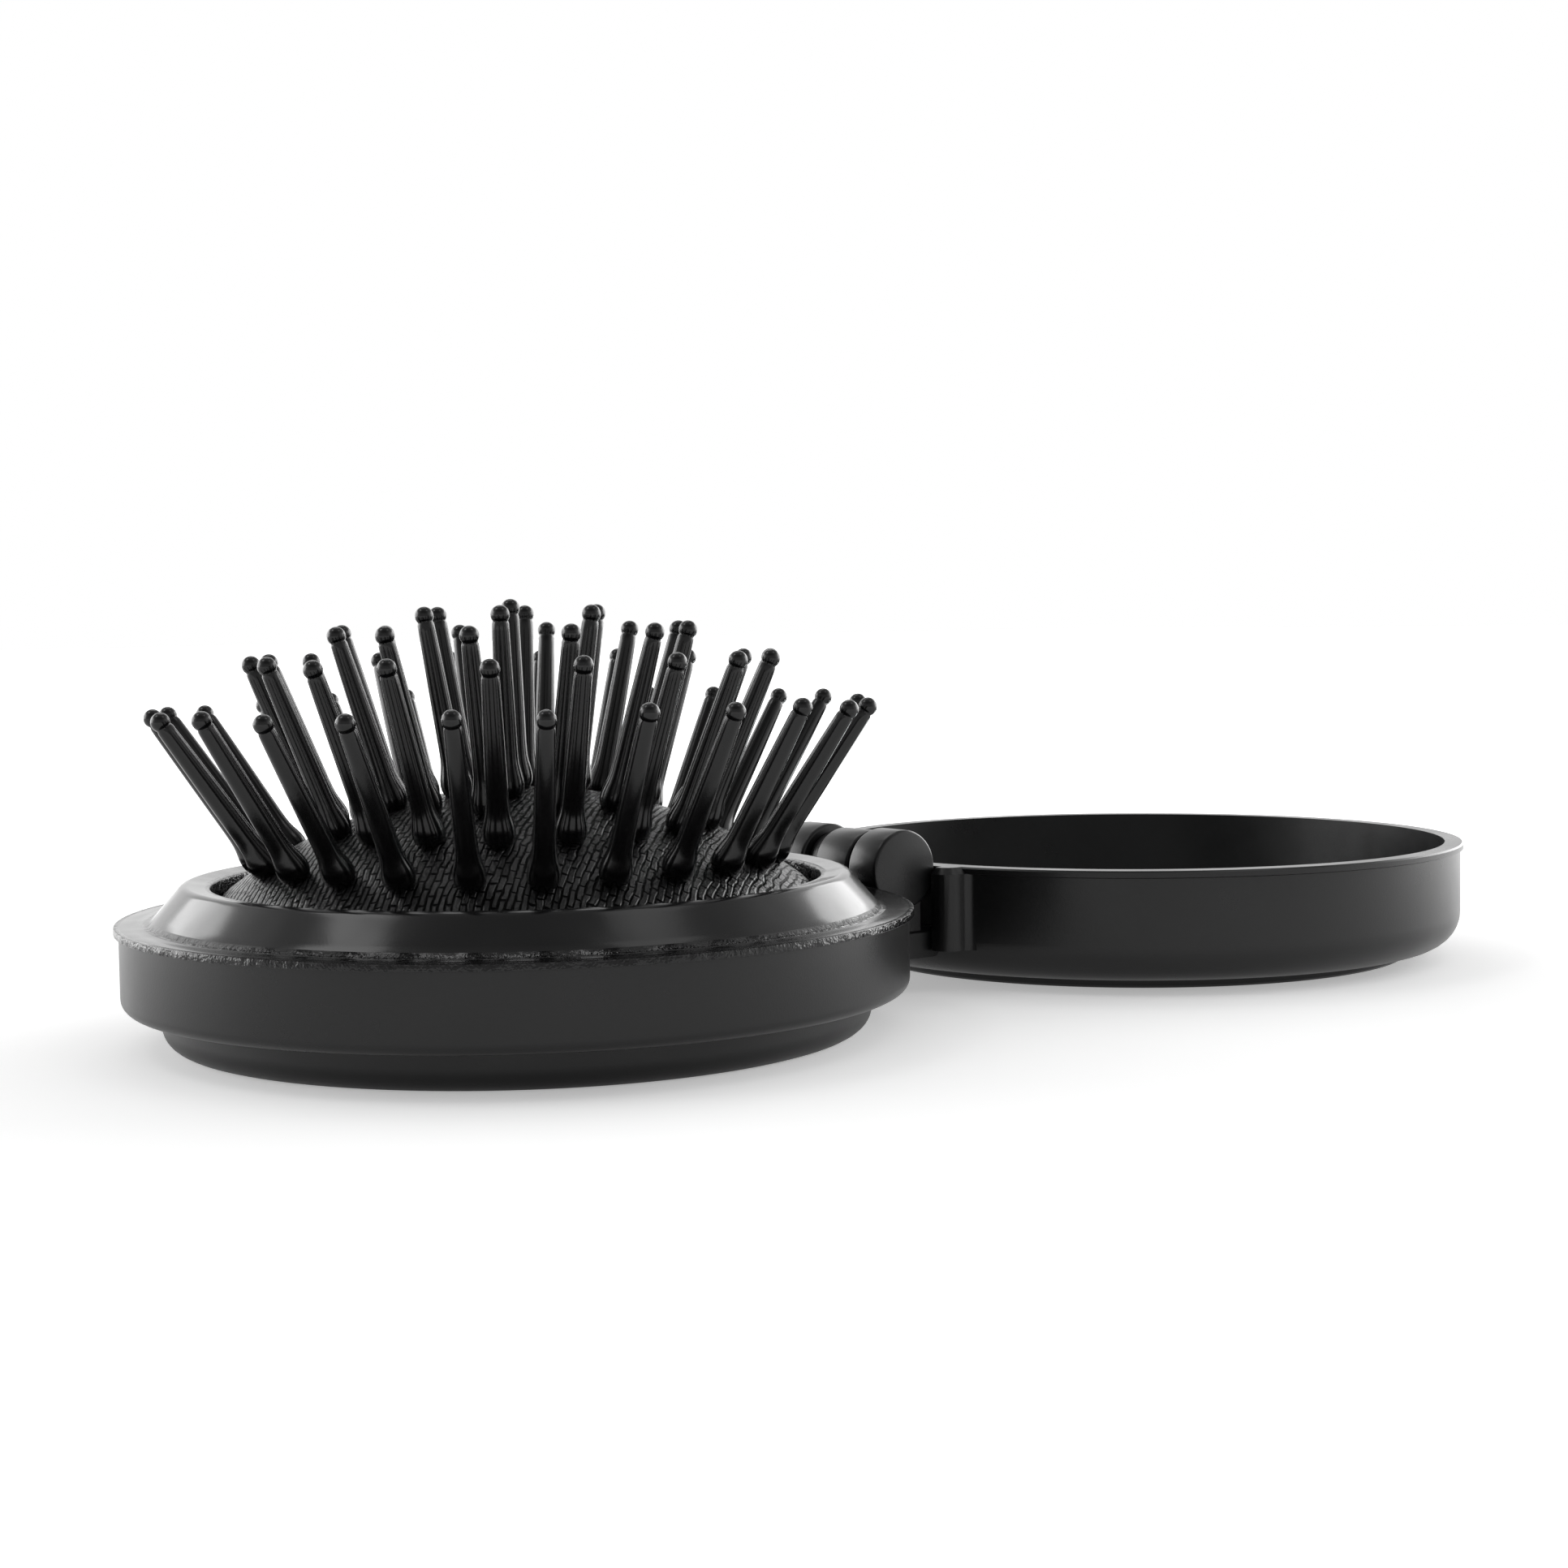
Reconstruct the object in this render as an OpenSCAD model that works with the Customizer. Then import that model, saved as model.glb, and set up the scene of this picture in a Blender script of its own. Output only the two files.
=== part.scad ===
// Folding pocket hairbrush with a mirror in its lid, laid open flat.
// Millimetres. The origin is at the middle of the brush half, on the surface it
// stands on. The lid lies toward +X and the hinge axis runs along Y.

/* [Brush housing] */
// Diameter of the thin flange round the brush half
flange_d = 66; // [58:0.5:74]
// Thickness of the flange
flange_t = 0.6; // [0.5:0.05:1]
// How far the flange stands proud of the housing wall
flange_proud = 0.4; // [0.2:0.05:0.8]
// Height of the top of the flange above the surface
deck_z = 10.1; // [9.8:0.1:12]
// Height of the housing's lower edge above the surface
housing_z = 3.3; // [2.6:0.1:3.6]
// Housing wall thickness
wall_t = 1.6; // [1.2:0.1:1.7]
// Thickness of the lip that keeps the push base in
lip_t = 0.7; // [0.6:0.05:1]
// Rounding of the housing's lower edge
housing_round = 1; // [0.2:0.05:1.2]

/* [Bezel] */
// Width of the flange outside the bezel
flange_step = 2.75; // [2.2:0.05:3]
// Width of the bezel from its foot to its opening
bezel_w = 5; // [4.6:0.05:5.4]
// Height of the bezel above the flange
bezel_h = 3.1; // [2.7:0.05:3.6]
// Slope of the bezel's cone above the flange, in degrees
cone_a = 49; // [45:1:53]
// Rounding between the cone and the land on top
shoulder_round = 0.9; // [0.5:0.05:1.2]
// How far the land falls toward the opening
land_fall = 0.25; // [0.05:0.05:0.4]
// Rounding of the opening's edge
opening_round = 0.3; // [0.2:0.05:0.5]
// Depth of the bezel's snap skirt inside the housing
skirt_h = 0.7; // [0.6:0.1:1]
// Thickness of the bezel's snap skirt
skirt_t = 1.05; // [0.9:0.05:1.1]

/* [Cushion] */
// How far the dome's edge lies below the top of the bezel
edge_drop = 0.6; // [0.3:0.05:1]
// Radius of the dome
dome_r = 40; // [37:0.5:46]
// Width of the turn between the dome and its upright edge
cushion_turn = 1.2; // [0.8:0.1:1.4]
// Thickness of the rubber
cushion_t = 1.3; // [1:0.1:1.5]
// Thickness of the cushion's clamped rim
rim_t = 1.05; // [0.9:0.05:1.1]
// Width of the cushion's clamped rim
rim_w = 3.4; // [3:0.1:3.5]
// Thickness of the ring that clamps the rim
clamp_t = 0.7; // [0.6:0.05:0.8]

/* [Pins] */
// Length of a pin above the rubber
pin_h = 15.7; // [14:0.1:16.5]
// Distance from the bezel's opening to the feet of the outer ring, in plan
pin_margin = 4.25; // [3.5:0.05:5]
// Lean of the pins of the outer ring, in degrees
outer_lean = 31; // [26:1:33]
// Diameter of a pin's foot
foot_d = 2.65; // [2.4:0.05:3.1]
// Height of a pin's foot
foot_h = 2.6; // [1.8:0.1:3]
// Bevel under the edge of a pin's foot
foot_edge = 0.2; // [0.1:0.05:0.4]
// Diameter of a pin's shaft above the foot
shaft_d = 1.7; // [1.4:0.05:1.8]
// Diameter of a pin's shaft under the ball
neck_d = 1.3; // [1:0.05:1.35]
// Diameter of the ball tip
ball_d = 1.55; // [1.4:0.05:2]
// Diameter of the stub that goes through the rubber
stub_d = 1.1; // [0.9:0.05:1.3]
// Diameter of the barb that holds the pin under the rubber
barb_d = 1.9; // [1.6:0.05:2.1]
// Height of the barb
barb_h = 0.9; // [0.6:0.05:1.1]

/* [Push base] */
// Gap in plan between the housing wall's face and the push base's
base_step = 3.2; // [3:0.05:3.6]
// Thickness of the push base's floor
base_floor_t = 1.5; // [1.2:0.1:1.8]
// Thickness of the push base's wall
base_wall_t = 1.2; // [1:0.1:1.5]
// Rounding of the push base's lower edge
base_round = 1.9; // [1:0.1:2.6]
// Overlap of the push base's hook over the housing's lip
hook_w = 0.9; // [0.7:0.05:0.95]
// Thickness of the hook
hook_t = 0.7; // [0.6:0.05:0.9]
// Height of the ribs that lift the turned-in cushion
rib_h = 2.9; // [2:0.1:2.9]
// Thickness of the ribs
rib_t = 0.8; // [0.6:0.1:1]

/* [Hinge] */
// Distance from the flange's edge to the hinge axis
hinge_reach = 3.5; // [3.4:0.05:4]
// Radius of the two outer knuckles
knuckle_r = 3.6; // [3.2:0.05:3.65]
// Radius of the lid's middle knuckle
mid_knuckle_r = 3.35; // [2.9:0.05:3.4]
// Rounding of the knuckles' edges
knuckle_round = 0.3; // [0.1:0.05:0.5]
// Overall length of the hinge
hinge_w = 14.3; // [13:0.1:16]
// Length of each outer knuckle
knuckle_w = 3.8; // [3.2:0.1:4.4]
// Gap in front of the middle knuckle
knuckle_gap = 0.5; // [0.3:0.05:0.7]
// Length of the spacer boss at the back of the middle knuckle
boss_w = 1.3; // [0.8:0.1:1.5]
// Radius of the spacer boss
boss_r = 2.85; // [2.4:0.05:3]
// Radius of the hinge pin
hinge_pin_r = 0.9; // [0.7:0.05:1.1]
// Depth of plastic left in front of the pin's blind bore
bore_end = 1; // [0.7:0.1:1.3]
// Width of the stem under each outer knuckle, across the axis
stem_t = 3.9; // [3:0.1:4.2]
// How far a stem's faces lie behind its knuckle's
stem_inset = 0.2; // [0.05:0.05:0.4]
// Height of the stop block's underside above the surface
block_z = 3.1; // [3:0.1:3.6]
// Height of the stop block
block_h = 2.7; // [2:0.1:3]
// How far the stop block reaches beyond the knuckles
block_step = 0.4; // [0.2:0.05:0.6]
// Rounding of the stop block's lower outer edge
block_round = 0.6; // [0.3:0.1:1]
// Bevel on the ends of the stop block's top
block_bevel = 0.4; // [0.2:0.05:0.6]

/* [Lid] */
// Height of the lid's rim above the surface
lid_h = 11.3; // [11:0.1:13]
// How far the lid's rim stays inside the flange's edge
lid_step = 0.4; // [0:0.05:0.8]
// Lid wall thickness
lid_wall_t = 1.5; // [1.2:0.1:1.6]
// Lid floor thickness
lid_floor_t = 1.4; // [1.2:0.1:1.6]
// Height of the raised disc under the lid
lid_disc_h = 1; // [0.6:0.1:1.2]
// Distance from the raised disc to the lid's lower rounding
disc_step = 1.55; // [1:0.05:4]
// Rounding between the lid's wall and its underside
lid_round = 3.5; // [2:0.1:3.8]
// Rounding between the lid's wall and its floor
lid_fillet = 1.75; // [1:0.05:1.9]
// Height of the bead round the rim
bead_h = 0.7; // [0.5:0.1:1]
// How far the bead stands proud of the lid wall
bead_proud = 0.3; // [0.2:0.05:0.4]
// Half width of the neck that carries the lid's knuckle
neck_half_w = 9.5; // [9:0.1:10.5]
// Height of the neck's underside above the surface
neck_z = 3.7; // [3.2:0.1:4.4]
// Rounding of the neck's upright corners
neck_corner = 1.7; // [0.8:0.1:1.8]
// Rounding between the neck and the lid's wall
neck_fillet = 0.9; // [0.5:0.05:1.2]
// Bevel round the neck's top
neck_bevel = 0.6; // [0.3:0.05:0.8]
// How far the neck's ends reach past the stop block
ear_step = 1.35; // [1:0.05:1.5]

/* [Mirror] */
// Distance from the lid's wall to the mirror's edge
mirror_step = 1.5; // [1.3:0.05:3]
// Distance from the mirror's edge to its pad's
pad_step = 1.5; // [1:0.1:3]
// Thickness of the mirror glass
mirror_t = 1.3; // [1:0.1:1.4]
// Bevel round the mirror
mirror_bevel = 0.3; // [0.1:0.05:0.5]
// Thickness of the adhesive pad under the mirror
pad_t = 0.3; // [0.2:0.05:0.4]

/* [Clearances] */
// Gap between the closed lid's rim and the flange
closed_gap = 1.2; // [0.8:0.05:1.4]
// Gap between pieces that move past each other
run_gap = 0.25; // [0.2:0.05:0.3]
// Gap between pieces that fit together without moving
fit_gap = 0.05; // [0.03:0.01:0.1]
// Gap round the hinge pin in the lid's knuckle
pin_gap = 0.06; // [0.03:0.01:0.1]
// Gap round a pin's stub in the rubber
stub_gap = 0.08; // [0.05:0.01:0.1]

/* [Hidden] */
$fn = 96;
overlap = 0.2; // how deep joined shapes run into each other

// Brush housing
flange_r = flange_d / 2;
wall_r = flange_r - flange_proud;
housing_in_r = wall_r - wall_t;
flange_under = deck_z - flange_t;
lip_top = housing_z + lip_t;

// Bezel and cushion
bezel_top = deck_z + bezel_h;
bezel_r = flange_r - flange_step;
opening_r = bezel_r - bezel_w;
shoulder_z = bezel_top - shoulder_round;
shoulder_r = bezel_r
    - (shoulder_round + cos(cone_a) * (shoulder_z - deck_z)) / sin(cone_a);
land_a = atan(land_fall / (shoulder_r - opening_r));
skirt_out_r = housing_in_r - fit_gap;
skirt_in_r = skirt_out_r - skirt_t;
clamp_seat = flange_under; // the clamp ring is welded here
rim_top = clamp_seat + fit_gap + rim_t;
ledge_z = rim_top + fit_gap;
cushion_r = opening_r - run_gap - fit_gap;
rim_out_r = cushion_r + rim_w;
edge_r = cushion_r - cushion_turn;
apex_z = bezel_top - edge_drop + dome_r - sqrt(pow(dome_r, 2) - pow(edge_r, 2));

// Push base
base_r = wall_r - base_step;
clamp_under = clamp_seat - clamp_t;
base_top = clamp_seat - max(clamp_t, skirt_h) - run_gap;
base_in_r = base_r - base_wall_t;
hook_r = base_r + hook_w;
ring_pitch = (opening_r - pin_margin) / 4;
rib_radii = [ring_pitch * 1.44, ring_pitch * 2.38];
rib_count = 6;
rib_step = rib_h / 10; // how much lower the webs are than the rings
web_h = rib_h / 2;

// Hinge
hinge_x = flange_r + hinge_reach;
hinge_z = (deck_z + lid_h + closed_gap) / 2;
hinge_half = hinge_w / 2;
notch_x = hinge_x - knuckle_r - run_gap; // flat on the housing and flange
mid_front = -hinge_half + knuckle_w + knuckle_gap;
mid_back = hinge_half - knuckle_w - boss_w - run_gap;
block_top = block_z + block_h;
block_end = hinge_x + knuckle_r + block_step;
neck_face = block_end + run_gap;
ear_x = neck_face - ear_step;
ear_y = hinge_half + run_gap;

// Lid
lid_x = 2 * hinge_x;
lid_wall_r = flange_r - lid_step - bead_proud;
lid_in_r = lid_wall_r - lid_wall_t;
lid_floor_z = lid_disc_h + lid_floor_t;
lid_disc_r = lid_wall_r - lid_round - disc_step;
disc_round = lid_disc_h / 2;
mirror_r = lid_in_r - mirror_step;

// Pins: ring 0 is the single pin at the crown
ring_size = 6; // pins added with each ring
ring_turn = [0, -9.5, 15.2, -7.5, 2.8]; // where each ring starts, in degrees
ring_lean = [0, 0.32, 0.55, 0.76, 1] * outer_lean;
foot_lift = 0.12; // the flat foot on the curved rubber
ball_z = pin_h - ball_d / 2;
ball_seat_a = 48; // where the ball meets its neck, in degrees
barb_tip_r = barb_d / 5;

function arc(cx, cy, r, a0, a1, n = 8) =
    [for (i = [0:n]) let (a = a0 + (a1 - a0) * i / n) [cx + r * cos(a), cy + r * sin(a)]];
function dome_z(r, t = 0) = apex_z - dome_r + sqrt(pow(dome_r - t, 2) - r * r);
function ring_count(k) = k == 0 ? 1 : ring_size * k;

// Places its children on each foot of ring k, with Z along the pin
module on_feet(k) {
    for (i = [0:ring_count(k) - 1])
        rotate([0, 0, ring_turn[k] + i * 360 / ring_count(k)])
            translate([k * ring_pitch, 0, dome_z(k * ring_pitch)])
                rotate([0, ring_lean[k], 0])
                    children();
}

// Cylinder along Y between two places
module along_y(r, y0, y1) {
    translate([0, y1, 0]) rotate([90, 0, 0]) cylinder(r = r, h = y1 - y0);
}

// Knuckle along Y between two places, with rounded edges
module knuckle(r, y0, y1) {
    translate([0, y1, 0]) rotate([90, 0, 0]) rotate_extrude()
        polygon(concat([[0, 0]],
            arc(r - knuckle_round, knuckle_round, knuckle_round, -90, 0, 3),
            arc(r - knuckle_round, y1 - y0 - knuckle_round, knuckle_round, 0, 90, 3),
            [[0, y1 - y0]]));
}

// Cuts the round wall flat where the knuckles stand
module hinge_flat() {
    translate([notch_x, -hinge_half - run_gap, housing_z - 1])
        cube([10, hinge_w + 2 * run_gap, deck_z]);
}

// Knuckle of the brush half with its stem, between two places along Y
module outer_knuckle(y0, y1) {
    translate([hinge_x, 0, hinge_z]) knuckle(knuckle_r, y0, y1);
    translate([hinge_x - stem_t / 2, y0 + stem_inset, block_top - overlap])
        cube([stem_t, y1 - y0 - 2 * stem_inset, hinge_z - block_top + overlap]);
}

// Stop block under the knuckles: its profile along X, cut to its shape along Y
module stop_block() {
    intersection() {
        translate([0, hinge_half, 0]) rotate([90, 0, 0])
            linear_extrude(hinge_w)
                polygon(concat([[0, block_top], [0, block_z]],
                    arc(block_end - block_round, block_z + block_round, block_round,
                        -90, 0, 4),
                    [[block_end, block_top]]));
        rotate([90, 0, 90])
            linear_extrude(block_end + 1)
                polygon([[-hinge_half, block_z - 1], [hinge_half, block_z - 1],
                    [hinge_half, block_top - block_bevel],
                    [hinge_half - block_bevel, block_top],
                    [-hinge_half + block_bevel, block_top],
                    [-hinge_half, block_top - block_bevel]]);
    }
}

module brush_housing() {
    color("#2b2b2c")
        difference() {
            union() {
                difference() {
                    rotate_extrude()
                        polygon(concat(
                            arc(wall_r - housing_round, housing_z + housing_round,
                                housing_round, -90, 0),
                            [[wall_r, flange_under], [housing_in_r, flange_under],
                            [housing_in_r, lip_top], [base_r + run_gap, lip_top],
                            [base_r + run_gap, housing_z]]));
                    hinge_flat();
                }
                difference() {
                    stop_block();
                    cylinder(r = wall_r - housing_round / 2, h = 3 * deck_z, center = true);
                }
                outer_knuckle(-hinge_half, -hinge_half + knuckle_w);
                outer_knuckle(hinge_half - knuckle_w, hinge_half);
            }
            // The pin goes in from the back and stops short of the front face
            translate([hinge_x, 0, hinge_z])
                along_y(hinge_pin_r + fit_gap / 2, -hinge_half + bore_end, hinge_half + 1);
        }
}

module bezel_ring() {
    color("#161617")
        difference() {
            rotate_extrude()
                polygon(concat(
                    [[flange_r, flange_under], [flange_r - 0.1, deck_z],
                    [bezel_r, deck_z]],
                    arc(shoulder_r, shoulder_z, shoulder_round, 90 - cone_a, 90 + land_a, 6),
                    arc(opening_r + opening_round, bezel_top - land_fall - opening_round,
                        opening_round, 90 + land_a, 180, 4),
                    [[opening_r, ledge_z], [rim_out_r + fit_gap, ledge_z],
                    [rim_out_r + fit_gap, clamp_seat], [skirt_in_r, clamp_seat],
                    [skirt_in_r, clamp_seat - skirt_h],
                    [skirt_out_r, clamp_seat - skirt_h],
                    [skirt_out_r, clamp_seat]]));
            hinge_flat();
        }
}

module cushion_clamp_ring() {
    color("#333334")
        rotate_extrude()
            polygon([[cushion_r, clamp_under], [skirt_in_r - fit_gap, clamp_under],
                [skirt_in_r - fit_gap, clamp_seat], [cushion_r, clamp_seat]]);
}

module cushion() {
    edge_a = asin(edge_r / dome_r);
    in_r = cushion_r - cushion_t;
    in_a = asin((in_r - cushion_turn) / (dome_r - cushion_t));
    color("#29292a")
        difference() {
            rotate_extrude()
                polygon(concat(
                    [[rim_out_r, clamp_seat + fit_gap], [rim_out_r, rim_top],
                    [cushion_r, rim_top], [cushion_r, dome_z(edge_r) - cushion_turn]],
                    arc(0, apex_z - dome_r, dome_r, 90 - edge_a, 90, 12),
                    arc(0, apex_z - dome_r, dome_r - cushion_t, 90, 90 - in_a, 12),
                    [[in_r, dome_z(in_r, cushion_t) - cushion_turn],
                    [in_r, clamp_seat + fit_gap]]));
            for (k = [0:4])
                on_feet(k)
                    cylinder(d = stub_d + 2 * stub_gap, h = 4 * cushion_t,
                        center = true, $fn = 16);
        }
}

// One pin, with its foot on the rubber and its barb under it
module pin() {
    under = -cushion_t - 2 * fit_gap;
    rotate_extrude($fn = 20)
        polygon(concat(
            [[0, under - barb_h], [barb_tip_r, under - barb_h], [barb_d / 2, under],
            [stub_d / 2, under], [stub_d / 2, foot_lift],
            [foot_d / 2 - foot_edge, foot_lift], [foot_d / 2, foot_lift + foot_edge],
            [foot_d * 0.46, foot_h * 0.3], [foot_d * 0.37, foot_h * 0.65],
            [shaft_d / 2, foot_h], [neck_d / 2, ball_z - ball_d * 0.42]],
            arc(0, ball_z, ball_d / 2, -ball_seat_a, 90, 5)));
}

module pin_ring(k) {
    color("#1f1f20") on_feet(k) pin();
}

module push_base() {
    color("#242425") {
        rotate_extrude()
            polygon(concat([[0, 0]],
                arc(base_r - base_round, base_round, base_round, -90, 0),
                [[base_r, base_top - hook_t], [hook_r, base_top - hook_t],
                [hook_r, base_top], [base_in_r, base_top],
                [base_in_r, base_floor_t + base_wall_t],
                [base_in_r - base_wall_t, base_floor_t], [0, base_floor_t]]));
        // Rings and webs that meet the cushion when it is turned in
        for (r = rib_radii)
            rotate_extrude()
                translate([r - rib_t / 2, base_floor_t - overlap])
                    square([rib_t, rib_h + overlap]);
        for (i = [0:rib_count - 1])
            rotate([0, 0, ring_turn[2] + 15 + i * 360 / rib_count])
                translate([rib_radii[0], -rib_t / 2, base_floor_t - overlap]) {
                    cube([rib_radii[1] - rib_radii[0], rib_t, rib_h - rib_step + overlap]);
                    cube([base_in_r - base_wall_t / 2 - rib_radii[0], rib_t,
                        web_h + overlap]);
                }
    }
}

module hinge_pin() {
    color("#b9babc")
        translate([hinge_x, 0, hinge_z])
            along_y(hinge_pin_r, -hinge_half + bore_end + fit_gap, hinge_half - overlap);
}

// The neck in plan without its fillets, drawn in by an amount
module neck_slab(inset = 0) {
    hull()
        for (side = [-1, 1]) {
            translate([ear_x + neck_corner, side * (neck_half_w - neck_corner)])
                circle(r = neck_corner - inset, $fn = 32);
            translate([lid_x - lid_in_r - overlap, side * (neck_half_w - 1)])
                circle(r = 1 - inset, $fn = 32);
        }
}

// The neck in plan, widened into the lid's wall by a fillet on each side
module neck_outline() {
    fillet_y = neck_half_w + neck_fillet;
    fillet_x = lid_x - sqrt(pow(lid_wall_r + neck_fillet, 2) - pow(fillet_y, 2));
    meet = atan2(fillet_y, lid_x - fillet_x);
    side = concat(
        arc(ear_x + neck_corner, neck_half_w - neck_corner, neck_corner, 180, 90, 5),
        arc(fillet_x, fillet_y, neck_fillet, -90, -meet, 5),
        [[lid_x - lid_in_r * cos(meet) - overlap * 2, lid_in_r * sin(meet) + overlap]]);
    polygon(concat(side, [for (i = [len(side) - 1:-1:0]) [side[i][0], -side[i][1]]]));
}

module neck() {
    bevel_z = lid_h - neck_bevel;
    difference() {
        union() {
            translate([0, 0, neck_z])
                linear_extrude(bevel_z - neck_z) neck_outline();
            hull() {
                translate([0, 0, bevel_z - overlap])
                    linear_extrude(overlap) neck_slab();
                translate([0, 0, lid_h - fit_gap])
                    linear_extrude(fit_gap) neck_slab(neck_bevel);
            }
        }
        // The cup, and the room for the stop block
        translate([lid_x, 0, lid_floor_z]) cylinder(r = lid_in_r, h = lid_h);
        translate([ear_x - 1, -ear_y, 0]) cube([1 + ear_step, 2 * ear_y, 2 * lid_h]);
    }
}

module lid_shell() {
    color("#2a2a2b")
        difference() {
            union() {
                translate([lid_x, 0, 0])
                    rotate_extrude()
                        polygon(concat(
                            [[0, 0]],
                            arc(lid_disc_r - disc_round, disc_round, disc_round, -90, 0, 3),
                            [[lid_disc_r, lid_disc_h]],
                            arc(lid_wall_r - lid_round, lid_disc_h + lid_round, lid_round,
                                -90, 0, 8),
                            [[lid_wall_r, lid_h - bead_h],
                            [lid_wall_r + bead_proud, lid_h - bead_h + bead_proud / 3],
                            [lid_wall_r + bead_proud, lid_h - bead_proud / 2],
                            [lid_wall_r + bead_proud / 2, lid_h], [lid_in_r, lid_h]],
                            arc(lid_in_r - lid_fillet, lid_floor_z + lid_fillet,
                                lid_fillet, 0, -90, 5),
                            [[0, lid_floor_z]]));
                neck();
                translate([hinge_x, 0, hinge_z]) {
                    knuckle(mid_knuckle_r, mid_front, mid_back);
                    along_y(boss_r, mid_back - 2 * overlap, mid_back + boss_w);
                    translate([0, mid_front + knuckle_round, -mid_knuckle_r / 2])
                        cube([neck_face - hinge_x + overlap,
                            mid_back - mid_front - 2 * knuckle_round,
                            mid_knuckle_r / 2 + lid_h - hinge_z - fit_gap]);
                }
            }
            translate([hinge_x, 0, hinge_z])
                along_y(hinge_pin_r + pin_gap, -hinge_half, hinge_half);
        }
}

module mirror_pad() {
    color("#8c8c8a")
        translate([lid_x, 0, lid_floor_z]) cylinder(r = mirror_r - pad_step, h = pad_t);
}

module mirror_glass() {
    color("#d9dddf")
        translate([lid_x, 0, lid_floor_z + pad_t])
            rotate_extrude()
                polygon([[0, 0], [mirror_r, 0], [mirror_r, mirror_t - mirror_bevel],
                    [mirror_r - mirror_bevel, mirror_t], [0, mirror_t]]);
}

brush_housing();
bezel_ring();
cushion_clamp_ring();
cushion();
pin_ring(0);  // pins_centre
pin_ring(1);  // pins_ring_1
pin_ring(2);  // pins_ring_2
pin_ring(3);  // pins_ring_3
pin_ring(4);  // pins_ring_4
push_base();
hinge_pin();
lid_shell();
mirror_pad();
mirror_glass();
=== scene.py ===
# Folding pocket hairbrush with a mirror in its lid, laid open on a white table.
import math
import random

import bpy
from mathutils import Matrix, Vector


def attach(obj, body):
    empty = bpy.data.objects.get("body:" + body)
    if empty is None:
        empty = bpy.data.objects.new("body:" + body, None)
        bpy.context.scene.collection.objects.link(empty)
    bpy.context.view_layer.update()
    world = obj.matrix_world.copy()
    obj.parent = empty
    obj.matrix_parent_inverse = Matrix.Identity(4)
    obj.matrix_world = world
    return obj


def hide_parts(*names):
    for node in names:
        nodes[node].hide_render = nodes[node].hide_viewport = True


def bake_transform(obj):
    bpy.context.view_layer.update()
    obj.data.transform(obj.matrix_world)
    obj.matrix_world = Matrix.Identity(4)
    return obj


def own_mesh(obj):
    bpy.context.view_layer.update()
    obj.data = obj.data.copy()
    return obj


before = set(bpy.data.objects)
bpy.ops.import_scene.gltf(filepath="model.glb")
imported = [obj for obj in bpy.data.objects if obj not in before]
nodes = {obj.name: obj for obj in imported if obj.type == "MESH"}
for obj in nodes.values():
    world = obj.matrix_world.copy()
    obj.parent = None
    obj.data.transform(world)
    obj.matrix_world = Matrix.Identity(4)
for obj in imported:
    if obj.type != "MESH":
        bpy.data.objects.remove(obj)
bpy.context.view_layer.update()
MM = 0.001
MERGE = 0.0005 * MM
# Level direction in which the camera looks, away from the photographer
AWAY = (0.617, 0.785, 0)
random.seed(7)


# ---------------------------------------------------------------- materials

def srgb(code):
    """Linear colour of an sRGB hex value."""
    parts = [int(code[i:i + 2], 16) / 255 for i in (1, 3, 5)]
    return [p / 12.92 if p <= 0.04045 else ((p + 0.055) / 1.055) ** 2.4 for p in parts] + [1]


def add_node(tree, kind, links=None, **settings):
    """Adds one node: links maps its sockets to values or to sockets of other nodes."""
    made = tree.nodes.new(kind)
    for name, value in settings.items():
        setattr(made, name, value)
    for socket, value in (links or {}).items():
        if isinstance(value, bpy.types.NodeSocket):
            tree.links.new(value, made.inputs[socket])
        else:
            made.inputs[socket].default_value = value
    return made


def start_material(name):
    """An empty material and its node tree."""
    material = bpy.data.materials.new(name)
    material.use_nodes = True
    material.node_tree.nodes.clear()
    return material, material.node_tree


def near_edges(tree, place, radii, reach):
    """1 on the circles with these radii in millimetres, falling to 0 at reach."""
    flat = add_node(tree, "ShaderNodeVectorMath", {0: place, 1: (1, 1, 0)},
                    operation="MULTIPLY")
    radius = add_node(tree, "ShaderNodeVectorMath", {0: flat.outputs[0]},
                      operation="LENGTH").outputs["Value"]
    total = None
    for edge in radii:
        gap = add_node(tree, "ShaderNodeMath", {0: radius, 1: edge * MM},
                       operation="SUBTRACT")
        gap = add_node(tree, "ShaderNodeMath", {0: gap.outputs[0]}, operation="ABSOLUTE")
        near = add_node(tree, "ShaderNodeMapRange",
                        {"Value": gap.outputs[0], "From Min": 0, "From Max": reach * MM,
                         "To Min": 1, "To Max": 0}).outputs["Result"]
        total = near if total is None else add_node(
            tree, "ShaderNodeMath", {0: total, 1: near}, operation="ADD").outputs[0]
    return total


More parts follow.
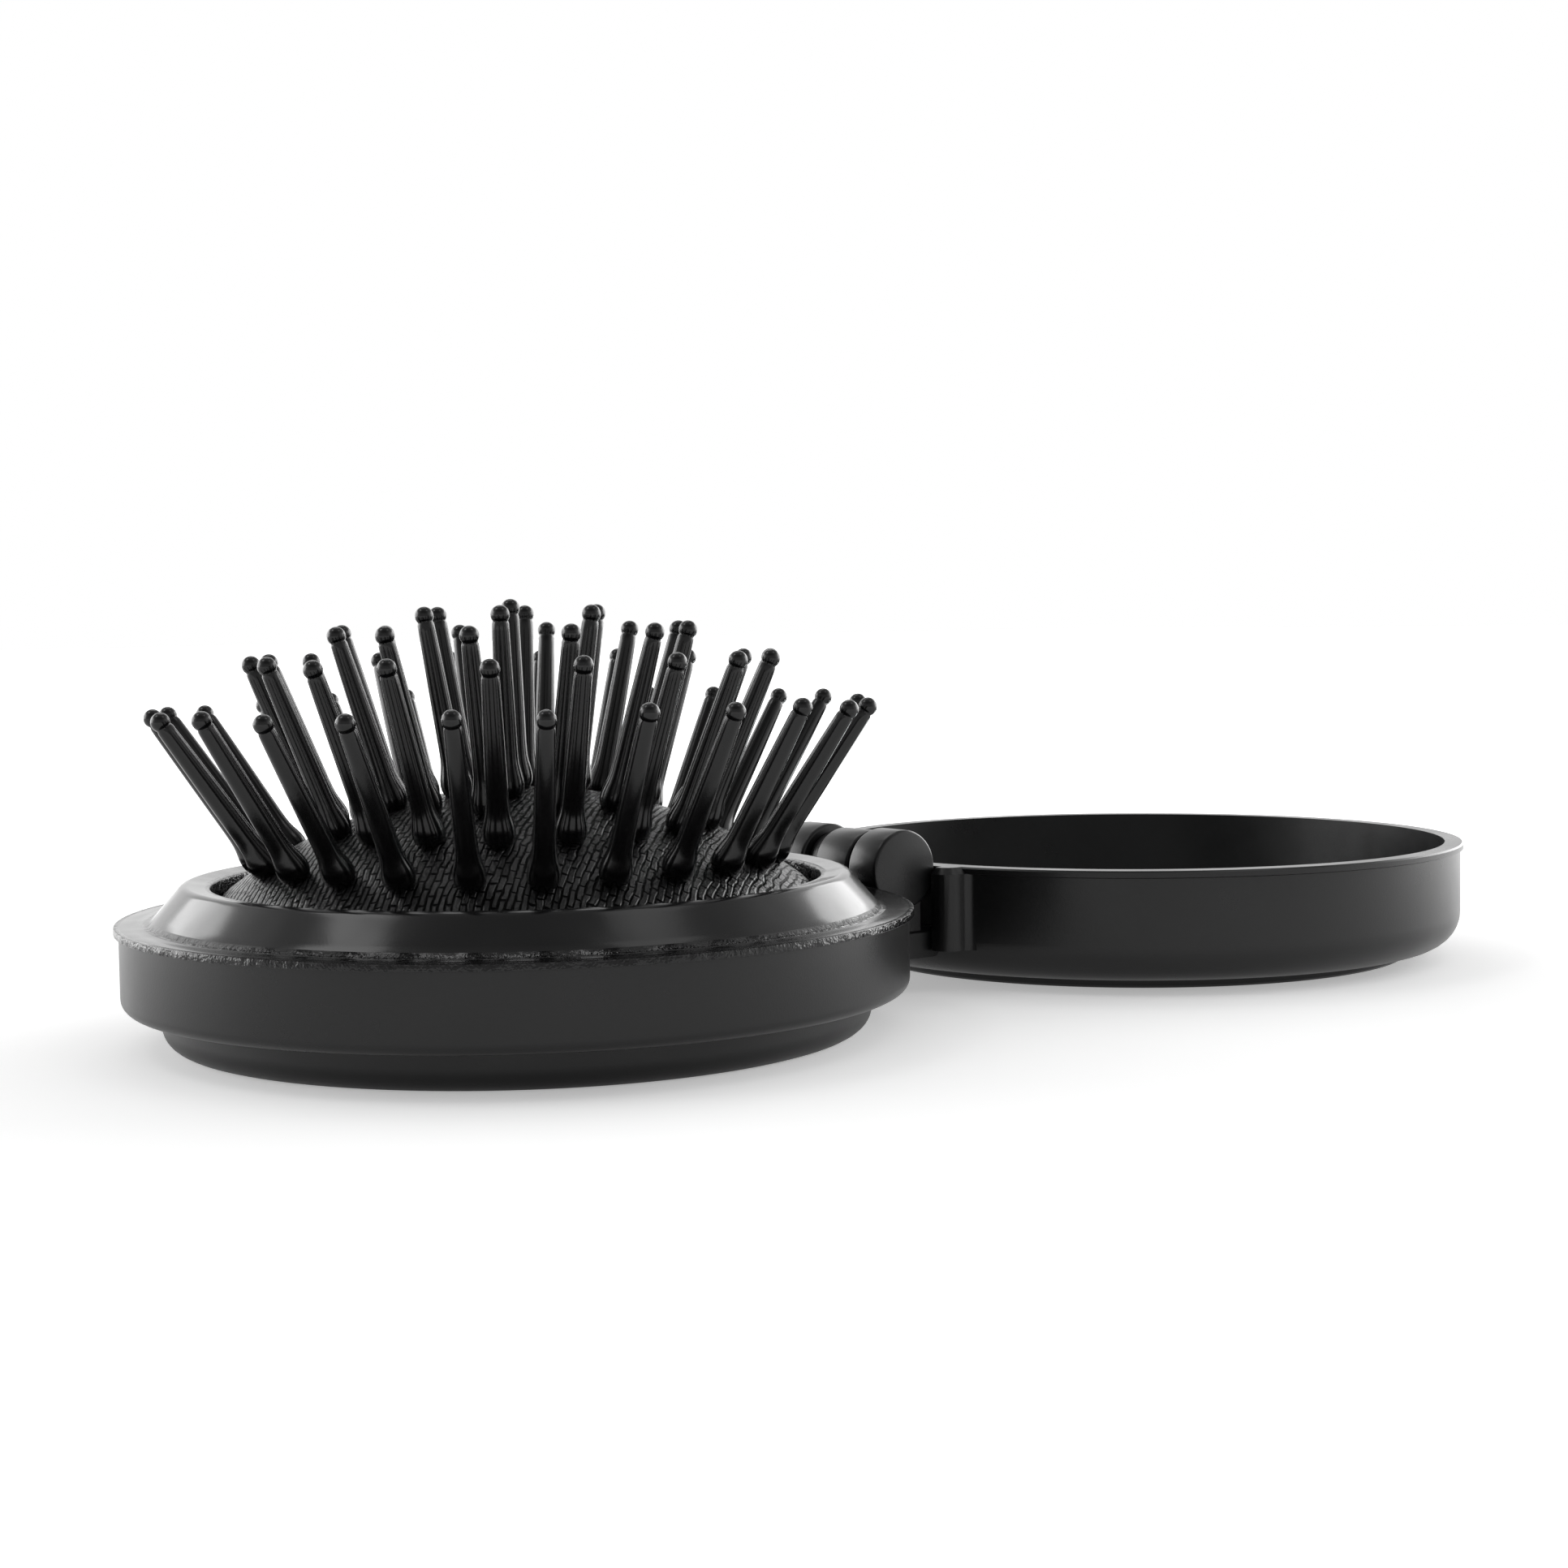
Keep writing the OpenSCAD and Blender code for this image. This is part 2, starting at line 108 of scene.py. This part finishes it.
def moulded_plastic(name, colour, roughness, grain_mm, grain_depth, wave_depth=0.0,
                    draw=1.0, trimmed=()):
    """Black injection-moulded plastic. The grain of the mould spreads the light into
    a sheen, slow waves of the skin bend the reflections, and draw pulls the grain out
    along Z, as on a long pin drawn from its mould. Trimmed gives the radii of edges
    that a knife has nicked and left uneven."""
    material, tree = start_material(name)
    place = add_node(tree, "ShaderNodeTexCoord").outputs["Object"]
    if draw != 1:
        place = add_node(tree, "ShaderNodeMapping",
                         {"Vector": place, "Scale": (1, 1, 1 / draw)}).outputs["Vector"]
    grain = add_node(tree, "ShaderNodeTexNoise",
                     {"Vector": place, "Scale": 1 / (grain_mm * MM), "Detail": 2,
                      "Roughness": 0.6})
    smudge = add_node(tree, "ShaderNodeTexNoise",
                      {"Vector": place, "Scale": 1 / (9 * MM), "Detail": 4,
                       "Roughness": 0.6})
    gloss = add_node(tree, "ShaderNodeMapRange",
                     {"Value": smudge.outputs["Fac"], "From Min": 0.3, "From Max": 0.7,
                      "To Min": roughness * 0.88, "To Max": roughness * 1.12})
    bump = add_node(tree, "ShaderNodeBump",
                    {"Height": grain.outputs["Fac"], "Strength": 1,
                     "Distance": grain_depth * MM})
    normal = bump.outputs["Normal"]
    if wave_depth:
        wave = add_node(tree, "ShaderNodeTexNoise",
                        {"Vector": place, "Scale": 1 / (6 * MM), "Detail": 1})
        normal = add_node(tree, "ShaderNodeBump",
                          {"Height": wave.outputs["Fac"], "Distance": wave_depth * MM,
                           "Strength": 1, "Normal": normal}).outputs["Normal"]
    if trimmed:
        nicks = add_node(tree, "ShaderNodeTexNoise",
                         {"Vector": place, "Scale": 1 / (1.3 * MM), "Detail": 3,
                          "Roughness": 0.7})
        cut = add_node(tree, "ShaderNodeMath",
                       {0: nicks.outputs["Fac"], 1: near_edges(tree, place, trimmed, 0.4)},
                       operation="MULTIPLY")
        normal = add_node(tree, "ShaderNodeBump",
                          {"Height": cut.outputs[0], "Distance": 0.28 * MM,
                           "Strength": 1, "Normal": normal}).outputs["Normal"]
    shader = add_node(tree, "ShaderNodeBsdfPrincipled",
                      {"Base Color": srgb(colour), "Roughness": gloss.outputs["Result"],
                       "IOR": 1.5, "Normal": normal})
    add_node(tree, "ShaderNodeOutputMaterial", {"Surface": shader.outputs["BSDF"]})
    return material


def slatted_rubber():
    """Silicone rubber cushion, moulded with short staggered slats: each is a low ridge
    that shines along one side. The grooves between them have painted shade: a darker
    colour and a lower shine than the slats."""
    slat_w, slat_l = 0.55, 1.6
    material, tree = start_material("moulded_silicone_rubber")
    plan = add_node(tree, "ShaderNodeUVMap", uv_map="plan").outputs["UV"]
    sway = add_node(tree, "ShaderNodeTexNoise",
                    {"Vector": plan, "Scale": 0.4, "Detail": 2})
    swayed = add_node(tree, "ShaderNodeVectorMath",
                      {0: sway.outputs["Color"], 1: (1.0, 0.8, 0)}, operation="MULTIPLY")
    bent = add_node(tree, "ShaderNodeVectorMath",
                    {0: plan, 1: swayed.outputs[0]}, operation="ADD")
    slats = add_node(tree, "ShaderNodeTexBrick",
                     {"Vector": bent.outputs[0], "Color1": (1, 1, 1, 1),
                      "Color2": (0.55, 0.55, 0.55, 1), "Mortar": (0, 0, 0, 1),
                      "Scale": 1, "Mortar Size": 0.13, "Mortar Smooth": 0.8,
                      "Bias": 0, "Brick Width": slat_l, "Row Height": slat_w})
    skin = add_node(tree, "ShaderNodeTexNoise",
                    {"Vector": plan, "Scale": 3, "Detail": 4, "Roughness": 0.65})
    height = add_node(tree, "ShaderNodeMath",
                      {0: skin.outputs["Fac"], 1: 0.5, 2: slats.outputs["Color"]},
                      operation="MULTIPLY_ADD")
    bump = add_node(tree, "ShaderNodeBump",
                    {"Height": height.outputs[0], "Strength": 1, "Distance": 0.3 * MM})
    # Specular level: it differs at random from slat to slat and is lowest in the grooves,
    # which is painted shade
    shine_and_groove_shade = add_node(tree, "ShaderNodeMapRange",
                     {"Value": slats.outputs["Color"], "From Min": 0.1, "From Max": 0.9,
                      "To Min": 0.04, "To Max": 0.62})
    # Slat colour, with a darker colour in the grooves as painted shade
    colour_and_groove_shade = add_node(tree, "ShaderNodeMix", {"Factor": slats.outputs["Fac"]},
                      data_type="RGBA")
    slat_colour, groove_painted_shade = colour_and_groove_shade.inputs[6], colour_and_groove_shade.inputs[7]
    slat_colour.default_value = srgb("#141415")
    groove_painted_shade.default_value = srgb("#050505")
    shader = add_node(tree, "ShaderNodeBsdfPrincipled",
                      {"Base Color": colour_and_groove_shade.outputs[2], "Roughness": 0.24,
                       "Specular IOR Level": shine_and_groove_shade.outputs["Result"], "IOR": 1.5,
                       "Normal": bump.outputs["Normal"]})
    add_node(tree, "ShaderNodeOutputMaterial", {"Surface": shader.outputs["BSDF"]})
    return material


def mirror_silver():
    """Silvered glass: a clean mirror with a faint haze."""
    material, tree = start_material("silvered_glass")
    shader = add_node(tree, "ShaderNodeBsdfPrincipled",
                      {"Base Color": srgb("#eef2f2"), "Metallic": 1, "Roughness": 0.02})
    add_node(tree, "ShaderNodeOutputMaterial", {"Surface": shader.outputs["BSDF"]})
    return material


def bright_steel():
    """Drawn steel wire: bright, with a fine uneven skin."""
    material, tree = start_material("drawn_steel_wire")
    place = add_node(tree, "ShaderNodeTexCoord").outputs["Object"]
    skin = add_node(tree, "ShaderNodeTexNoise",
                    {"Vector": place, "Scale": 1 / (0.3 * MM), "Detail": 2})
    bump = add_node(tree, "ShaderNodeBump",
                    {"Height": skin.outputs["Fac"], "Strength": 1, "Distance": 0.003 * MM})
    shader = add_node(tree, "ShaderNodeBsdfPrincipled",
                      {"Base Color": srgb("#c2c3c5"), "Metallic": 1, "Roughness": 0.22,
                       "Normal": bump.outputs["Normal"]})
    add_node(tree, "ShaderNodeOutputMaterial", {"Surface": shader.outputs["BSDF"]})
    return material


satin_abs = moulded_plastic("satin_moulded_abs", "#0c0c0d", 0.3, 0.16, 0.006)
gloss_abs = moulded_plastic("polished_moulded_abs", "#09090a", 0.17, 0.2, 0.0015, 0.12,
                            trimmed=(25.3, 30.3, 32.95))
base_abs = moulded_plastic("matt_moulded_abs", "#0b0b0c", 0.38, 0.2, 0.006)
pin_nylon = moulded_plastic("moulded_nylon", "#0a0a0b", 0.17, 0.14, 0.003, draw=12)
foam = moulded_plastic("foam_tape", "#b9b8b2", 0.8, 0.2, 0.02)


def dress(piece, material):
    """Gives a piece or a CAD node its finish."""
    piece.data.materials.clear()
    piece.data.materials.append(material)


dress(nodes["cushion_clamp_ring"], satin_abs)
dress(nodes["hinge_pin"], bright_steel())
dress(nodes["mirror_glass"], mirror_silver())
dress(nodes["mirror_pad"], foam)


# ------------------------------------------------------------------- shaping

def turned(name, outline, steps):
    """Turns an outline of radii and heights in millimetres round Z: a ring of edges
    that is extruded and resized from point to point."""
    bpy.ops.object.select_all(action="DESELECT")
    radius, height = outline[0]
    bpy.ops.mesh.primitive_circle_add(vertices=steps, radius=radius * MM,
                                      location=(0, 0, height * MM))
    bpy.ops.object.transform_apply(location=True)
    piece = bpy.context.object
    piece.name = name
    bpy.ops.object.mode_set(mode="EDIT")
    for (r0, z0), (r1, z1) in zip(outline, outline[1:]):
        bpy.ops.mesh.extrude_region_move(
            TRANSFORM_OT_translate={"value": (0, 0, (z1 - z0) * MM)})
        bpy.ops.transform.resize(value=(r1 / r0, r1 / r0, 1), center_override=(0, 0, 0))
    bpy.ops.object.mode_set(mode="OBJECT")
    return piece


def finish_mesh(piece, smooth_angle, cap=False):
    """Merges what meets, closes the ends if asked, turns the faces outward and
    shades the piece smooth up to an angle."""
    bpy.ops.object.select_all(action="DESELECT")
    bpy.context.view_layer.objects.active = piece
    piece.select_set(True)
    bpy.ops.object.mode_set(mode="EDIT")
    bpy.ops.mesh.select_all(action="SELECT")
    bpy.ops.mesh.remove_doubles(threshold=MERGE)
    if cap:
        bpy.ops.mesh.select_all(action="DESELECT")
        bpy.ops.mesh.select_non_manifold()
        bpy.ops.mesh.edge_face_add()
        bpy.ops.mesh.select_all(action="SELECT")
    bpy.ops.mesh.normals_make_consistent(inside=False)
    bpy.ops.object.mode_set(mode="OBJECT")
    bpy.ops.object.shade_smooth_by_angle(angle=math.radians(smooth_angle))


def smooth_shell(name, node, body, material):
    """A copy of a moulding's solid with its rounds shaded smooth."""
    piece = bpy.data.objects.new(name, nodes[node].data.copy())
    bpy.context.scene.collection.objects.link(piece)
    bpy.ops.object.select_all(action="DESELECT")
    bpy.context.view_layer.objects.active = piece
    piece.select_set(True)
    bpy.ops.mesh.customdata_custom_splitnormals_clear()
    bpy.ops.object.mode_set(mode="EDIT")
    bpy.ops.mesh.select_all(action="SELECT")
    bpy.ops.mesh.remove_doubles(threshold=MERGE)
    bpy.ops.object.mode_set(mode="OBJECT")
    bpy.ops.object.shade_smooth_by_angle(angle=math.radians(28))
    dress(piece, material)
    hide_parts(node)
    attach(piece, body)


def arc(cx, cz, radius, start, end, steps=6):
    """Points on an arc, in the same units as its centre."""
    return [(cx + radius * math.cos(math.radians(start + (end - start) * i / steps)),
             cz + radius * math.sin(math.radians(start + (end - start) * i / steps)))
            for i in range(steps + 1)]


# --------------------------------------------------------------------- sizes

# In millimetres, as in the part's source
FLANGE_R, DECK_Z, FLANGE_T = 33.0, 10.1, 0.6
BEZEL_R, OPENING_R, BEZEL_H = 30.25, 25.25, 3.1
DOME_R, CUSHION_R, EDGE_R = 40.0, 24.95, 23.75
APEX_Z = DECK_Z + BEZEL_H - 0.6 + DOME_R - math.sqrt(DOME_R ** 2 - EDGE_R ** 2)
RING_PITCH, PIN_H, BALL_R = 5.25, 15.7, 0.775
RING_TURN = (0, -9.5, 15.2, -7.5, 2.8)
RING_LEAN = [part * 31 for part in (0, 0.32, 0.55, 0.76, 1)]
HINGE_FLAT_X = 32.65


def dome_z(radius):
    """Height of the cushion at a radius."""
    return APEX_Z - DOME_R + math.sqrt(DOME_R ** 2 - radius ** 2)


# ------------------------------------------------------------------- cushion

def make_cushion():
    """One rubber dome with its rolled edge, its upright wall and its clamped rim."""
    thick, rim_r, rim_z = 1.3, 28.3, DECK_Z - FLANGE_T + 0.05
    top = [(r, dome_z(r)) for r in [0.15] + [EDGE_R * i / 40 for i in range(1, 41)]]
    under = [(r, dome_z(r) - thick) for r in [22.4 * i / 24 for i in range(24, 0, -1)]
             + [0.15]]
    roll = [(24.4, dome_z(EDGE_R) - 0.62), (24.8, dome_z(EDGE_R) - 1.25)]
    rim = [(CUSHION_R, 10.6), (rim_r, 10.6), (rim_r, rim_z), (CUSHION_R - thick, rim_z),
           (CUSHION_R - thick, 11.2)]
    piece = turned("cushion_rubber", top + roll + rim + under, 160)
    finish_mesh(piece, 50, cap=True)
    plan = piece.data.uv_layers.new(name="plan")
    turn = Matrix.Rotation(math.radians(-43), 2)
    for corner in piece.data.loops:
        place = piece.data.vertices[corner.vertex_index].co
        plan.data[corner.index].uv = turn @ Vector((place.x / MM, place.y / MM))
    dress(piece, slatted_rubber())
    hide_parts("cushion")
    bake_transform(piece)


# ---------------------------------------------------------------------- pins

def make_pin():
    """One moulded pin standing on the origin: bell foot, long taper, undercut neck
    and ball."""
    outline = [(0.4, -0.45), (0.85, -0.3), (1.05, 0.0), (1.2, 0.25), (1.29, 0.55),
               (1.32, 0.9), (1.28, 1.3), (1.18, 1.75), (1.06, 2.2), (0.97, 2.65),
               (0.92, 3.2), (0.89, 4), (0.86, 6), (0.81, 9), (0.75, 12), (0.71, 13.7),
               (0.69, 14.2), (0.63, 14.38)]
    outline += arc(0, PIN_H - BALL_R, BALL_R, -38, 80, 9)
    pin = turned("pin", outline, 20)
    finish_mesh(pin, 60, cap=True)
    return pin


def splay(turn):
    """Extra lean of an outer pin in degrees, matched to the photograph: more at the
    left and right ends, a little less near the front right."""
    left, right, near = (max(0, math.cos(turn - math.radians(a))) for a in (142, 322, 283))
    return 4.5 * left ** 2 + 3 * right ** 4 - 1.5 * near ** 4


def make_pins():
    """Rings of pins: copies of one pin, each with its own slight lean and turn."""
    model = make_pin()
    rings = []
    for ring, node in enumerate(("pins_centre", "pins_ring_1", "pins_ring_2",
                                 "pins_ring_3", "pins_ring_4")):
        count = max(1, 6 * ring)
        copies = []
        for i in range(count):
            turn = math.radians(RING_TURN[ring] + 360 * i / count)
            radius = ring * RING_PITCH
            lean = math.radians(RING_LEAN[ring] + random.uniform(-1.3, 1.3)
                                + (splay(turn) if ring == 4 else 0))
            side = math.radians(random.uniform(-1.6, 1.6))
            spin = random.uniform(0, math.tau)
            copy = bpy.data.objects.new(node, model.data.copy())
            bpy.context.scene.collection.objects.link(copy)
            copy.data.transform(
                Matrix.Rotation(turn, 4, "Z")
                @ Matrix.Translation(Vector((radius, 0, dome_z(radius))) * MM)
                @ Matrix.Rotation(lean, 4, "Y") @ Matrix.Rotation(side, 4, "X")
                @ Matrix.Rotation(spin, 4, "Z"))
            copies.append(copy)
        bpy.ops.object.select_all(action="DESELECT")
        for copy in copies:
            copy.select_set(True)
        bpy.context.view_layer.objects.active = copies[0]
        if count > 1:
            bpy.ops.object.join()
        piece = bpy.context.view_layer.objects.active
        piece.name = "bristles_" + ("centre", "first", "second", "third", "outer")[ring]
        dress(piece, pin_nylon)
        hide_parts(node)
        rings.append(piece)
    bpy.data.objects.remove(model)
    for piece, body in zip(rings, ("pins_centre", "pins_ring_1", "pins_ring_2",
                                   "pins_ring_3")):
        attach(piece, body)
    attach(rings[4], "brush_half")
    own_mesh(rings[4])


# --------------------------------------------------------------------- bezel

def make_bezel():
    """Polished ring with a thin flange, a straight cone, a rounded shoulder and a
    land round the opening. The flange is cut flat beside the hinge."""
    shoulder, slope, fall = 0.9, 49, 0.25
    shoulder_z = DECK_Z + BEZEL_H - shoulder
    shoulder_r = BEZEL_R - ((shoulder + math.cos(math.radians(slope))
                             * (shoulder_z - DECK_Z)) / math.sin(math.radians(slope)))
    top_z = DECK_Z + BEZEL_H
    under_z = DECK_Z - FLANGE_T
    cone_top = (shoulder_r + shoulder * math.cos(math.radians(90 - slope)),
                shoulder_z + shoulder * math.sin(math.radians(90 - slope)))
    cone = [(BEZEL_R + (cone_top[0] - BEZEL_R) * t, DECK_Z + (cone_top[1] - DECK_Z) * t)
            for t in (0.04, 0.3, 0.6, 0.9)]
    outline = ([(31.2, under_z), (FLANGE_R - 0.05, under_z), (FLANGE_R, under_z + 0.06),
                (FLANGE_R, DECK_Z - 0.12), (FLANGE_R - 0.04, DECK_Z - 0.03),
                (FLANGE_R - 0.14, DECK_Z), (31.5, DECK_Z), (BEZEL_R + 0.08, DECK_Z)]
               + cone + arc(shoulder_r, shoulder_z, shoulder, 90 - slope, 94, 10)
               + [(OPENING_R + 0.9, top_z - fall * 0.75)]
               + arc(OPENING_R + 0.22, top_z - fall - 0.22, 0.22, 90, 180, 5)
               + [(OPENING_R, 12.2), (OPENING_R, 10.66), (28.4, 10.66), (28.4, under_z),
                  (29.9, under_z), (29.9, under_z - 0.7), (30.95, under_z - 0.7),
                  (30.95, under_z), (31.2, under_z)])
    piece = turned("bezel_polished", outline, 288)
    bpy.ops.object.mode_set(mode="EDIT")
    bpy.ops.mesh.select_all(action="SELECT")
    bpy.ops.mesh.remove_doubles(threshold=MERGE)
    bpy.ops.mesh.bisect(plane_co=(HINGE_FLAT_X * MM, 0, 0), plane_no=(1, 0, 0),
                        clear_outer=True, use_fill=True)
    bpy.ops.object.mode_set(mode="OBJECT")
    finish_mesh(piece, 35)
    dress(piece, gloss_abs)
    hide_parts("bezel_ring")
    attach(piece, "brush_half")


smooth_shell("moulded_housing", "brush_housing", "brush_half", satin_abs)
smooth_shell("moulded_lid", "lid_shell", "lid", satin_abs)
smooth_shell("moulded_base", "push_base", "push_base", base_abs)
make_bezel()
make_cushion()
make_pins()


# ------------------------------------------------------------------- studio

def studio_floor():
    """White table. Far from the object the camera sees it as plain white, and gloss
    sees it bright behind the object and dimmer on the photographer's side."""
    bpy.ops.object.select_all(action="DESELECT")
    bpy.ops.mesh.primitive_plane_add(size=6, location=(0, 0, 0))
    table = bpy.context.object
    table.name = "table"
    table.data.transform(Matrix.Translation((0, 0, -0.00005)))
    material, tree = start_material("white_table")
    sight = add_node(tree, "ShaderNodeLightPath")
    place = add_node(tree, "ShaderNodeTexCoord").outputs["Object"]
    away = add_node(tree, "ShaderNodeVectorMath", {0: place, 1: AWAY},
                    operation="DOT_PRODUCT")
    behind = add_node(tree, "ShaderNodeMapRange",
                      {"Value": away.outputs["Value"], "From Min": -0.06, "From Max": 0.1,
                       "To Min": 0.25, "To Max": 1.2})
    seen = add_node(tree, "ShaderNodeMath",
                    {0: sight.outputs["Is Glossy Ray"], 1: behind.outputs["Result"],
                     2: sight.outputs["Is Camera Ray"]}, operation="MULTIPLY_ADD")
    reach = add_node(tree, "ShaderNodeVectorMath", {0: place}, operation="LENGTH")
    far = add_node(tree, "ShaderNodeMapRange",
                   {"Value": reach.outputs["Value"], "From Min": 0.08, "From Max": 0.32,
                    "To Min": 0.36, "To Max": 1})
    strength = add_node(tree, "ShaderNodeMath",
                        {0: far.outputs["Result"], 1: seen.outputs[0]},
                        operation="MULTIPLY")
    paint = add_node(tree, "ShaderNodeBsdfDiffuse", {"Color": srgb("#f4f4f4")})
    lift = add_node(tree, "ShaderNodeEmission",
                    {"Color": (1, 1, 1, 1), "Strength": strength.outputs[0]})
    both = add_node(tree, "ShaderNodeAddShader", {0: paint.outputs[0], 1: lift.outputs[0]})
    add_node(tree, "ShaderNodeOutputMaterial", {"Surface": both.outputs[0]})
    table.data.materials.append(material)


def softbox(name, place, target, width, height, radiance):
    """A rectangular lamp with an even face, which the camera doesn't see."""
    data = bpy.data.lights.new(name, "AREA")
    data.shape = "RECTANGLE"
    data.size, data.size_y = width, height
    data.energy = radiance * width * height * math.pi
    lamp = bpy.data.objects.new(name, data)
    bpy.context.scene.collection.objects.link(lamp)
    lamp.location = place
    lamp.rotation_euler = (Vector(target) - Vector(place)).to_track_quat("-Z", "Y").to_euler()
    lamp.visible_camera = False


def studio_world():
    """White room for the camera. For the object it is bright low down at the back and
    the sides, and darker overhead and on the photographer's side."""
    world = bpy.data.worlds.new("studio")
    bpy.context.scene.world = world
    world.use_nodes = True
    tree = world.node_tree
    tree.nodes.clear()
    sight = add_node(tree, "ShaderNodeLightPath")
    aim = add_node(tree, "ShaderNodeTexCoord").outputs["Generated"]
    height = add_node(tree, "ShaderNodeSeparateXYZ", {"Vector": aim}).outputs["Z"]
    low = add_node(tree, "ShaderNodeMapRange",
                   {"Value": height, "From Min": 0.3, "From Max": 0.85, "To Min": 1,
                    "To Max": 0.3}, interpolation_type="SMOOTHSTEP")
    away = add_node(tree, "ShaderNodeVectorMath", {0: aim, 1: AWAY},
                    operation="DOT_PRODUCT")
    behind = add_node(tree, "ShaderNodeMapRange",
                      {"Value": away.outputs["Value"], "From Min": -0.7, "From Max": 0.0,
                       "To Min": 0.45, "To Max": 1.25}, interpolation_type="SMOOTHSTEP")
    glow = add_node(tree, "ShaderNodeMath",
                    {0: low.outputs["Result"], 1: behind.outputs["Result"]},
                    operation="MULTIPLY")
    fill = add_node(tree, "ShaderNodeBackground",
                    {"Color": (1, 1, 1, 1), "Strength": glow.outputs[0]})
    white = add_node(tree, "ShaderNodeBackground", {"Color": (1, 1, 1, 1), "Strength": 1})
    pick = add_node(tree, "ShaderNodeMixShader",
                    {0: sight.outputs["Is Camera Ray"], 1: fill.outputs[0],
                     2: white.outputs[0]})
    add_node(tree, "ShaderNodeOutputWorld", {"Surface": pick.outputs[0]})


def set_camera():
    """Camera at the photograph's place, aimed by bearing, pitch and roll."""
    bearing, pitch, roll = (math.radians(v) for v in (-38.164, 3.841, -0.809))
    back = Vector((math.sin(bearing) * math.cos(pitch),
                   -math.cos(bearing) * math.cos(pitch), math.sin(pitch)))
    right = Vector((math.cos(bearing), math.sin(bearing), 0))
    up = back.cross(right)
    turned_right = right * math.cos(roll) + up * math.sin(roll)
    turned_up = -right * math.sin(roll) + up * math.cos(roll)
    data = bpy.data.cameras.new("camera")
    data.sensor_width = 36
    focal_px, image_px = 3142.2, 1932
    data.lens = focal_px / image_px * data.sensor_width
    data.clip_start = 0.01
    camera = bpy.data.objects.new("camera", data)
    bpy.context.scene.collection.objects.link(camera)
    turn = Matrix((turned_right, turned_up, back)).transposed().to_4x4()
    camera.matrix_world = Matrix.Translation(
        Vector((-113.79, -180.85, 34.63)) * MM) @ turn
    bpy.context.scene.camera = camera


studio_floor()
studio_world()
softbox("left_softbox", (-0.45, 0.75, 0.24), (0, 0, 0.01), 1.0, 0.5, 2.6)
softbox("right_softbox", (0.9, 0.0, 0.24), (0.03, 0, 0.01), 1.0, 0.5, 3.0)
softbox("top_softbox", (0.2, 0.4, 0.72), (0.03, 0, 0), 0.4, 0.25, 1.3)
softbox("high_left_softbox", (-0.36, 0.28, 0.78), (0, 0, 0.01), 0.3, 0.22, 2.2)
softbox("high_right_softbox", (0.26, -0.25, 0.77), (0, 0, 0.01), 0.28, 0.2, 0.9)
set_camera()

bpy.context.scene.view_settings.view_transform = "Standard"
bpy.context.view_layer.update()
